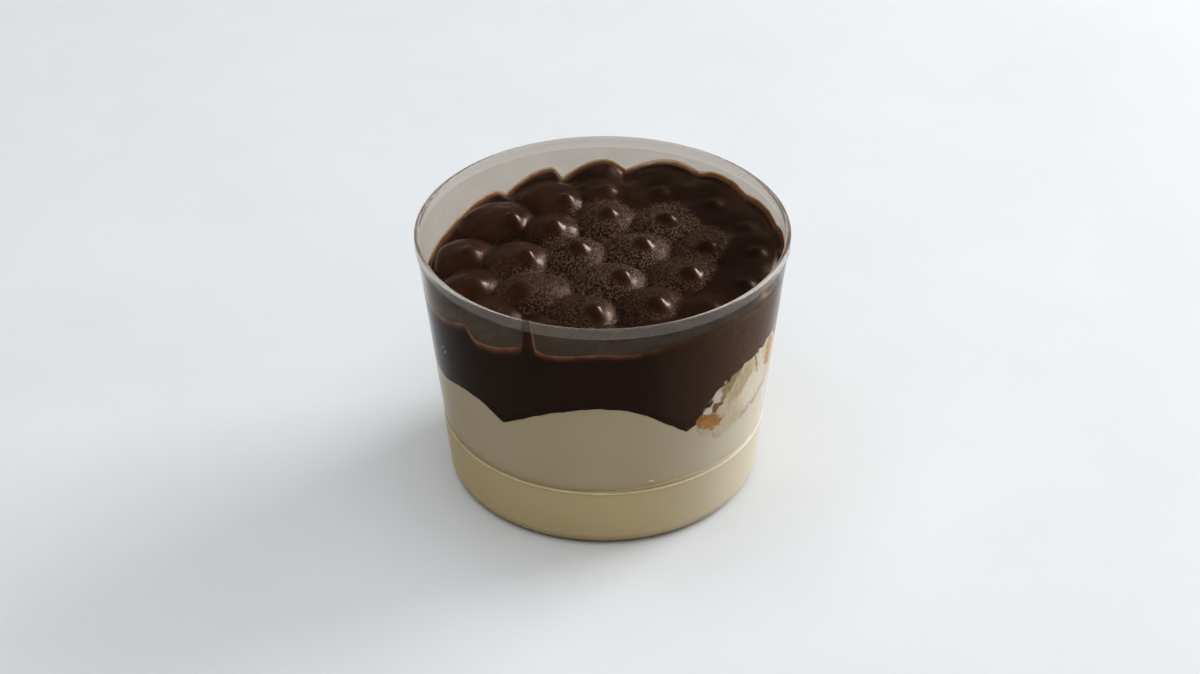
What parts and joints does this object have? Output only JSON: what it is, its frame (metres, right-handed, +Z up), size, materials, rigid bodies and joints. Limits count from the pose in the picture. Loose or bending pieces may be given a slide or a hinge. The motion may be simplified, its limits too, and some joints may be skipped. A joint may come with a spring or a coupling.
{
  "type": "profiterole cup",
  "caption": "Clear round dessert cup holding custard, cream and chocolate sauce, with small sauce-coated profiteroles packed over the top, each with a piped nub.",
  "frame": {"origin": "middle of the cup's underside, on the surface it stands on", "axes": "+Z up along the cup's axis, -Y towards the side the picture shows, +X to the right of that view"},
  "size_m": [0.095, 0.095, 0.07],
  "materials": {
    "clear_plastic": "slightly hazy, glossy",
    "custard": "smooth, moist",
    "cream": "smooth, moist",
    "chocolate_sauce": "glossy, wet",
    "chocolate_coating": "glossy with grainy patches",
    "choux": "baked crust, torn in places"
  },
  "bodies": {
    "root": {"cup": "clear_plastic", "custard_base": "custard", "cream_layer": "cream", "chocolate_sauce": "chocolate_sauce", "pressed_profiterole": "choux", "profiterole_01": "chocolate_coating", "profiterole_02": "chocolate_coating", "profiterole_03": "chocolate_coating", "profiterole_04": "chocolate_coating", "profiterole_05": "chocolate_coating", "profiterole_06": "chocolate_coating", "profiterole_07": "chocolate_coating", "profiterole_08": "chocolate_coating", "profiterole_09": "chocolate_coating", "profiterole_10": "chocolate_coating", "profiterole_11": "chocolate_coating", "profiterole_12": "chocolate_coating", "profiterole_13": "chocolate_coating", "profiterole_14": "chocolate_coating", "profiterole_15": "chocolate_coating", "profiterole_16": "chocolate_coating", "profiterole_17": "chocolate_coating", "profiterole_18": "chocolate_coating", "profiterole_19": "chocolate_coating", "profiterole_20": "chocolate_coating", "profiterole_21": "chocolate_coating", "profiterole_22": "chocolate_coating", "profiterole_23": "chocolate_coating", "profiterole_24": "chocolate_coating", "profiterole_25": "chocolate_coating", "profiterole_26": "chocolate_coating", "profiterole_27": "chocolate_coating"}
  },
  "joints": []
}
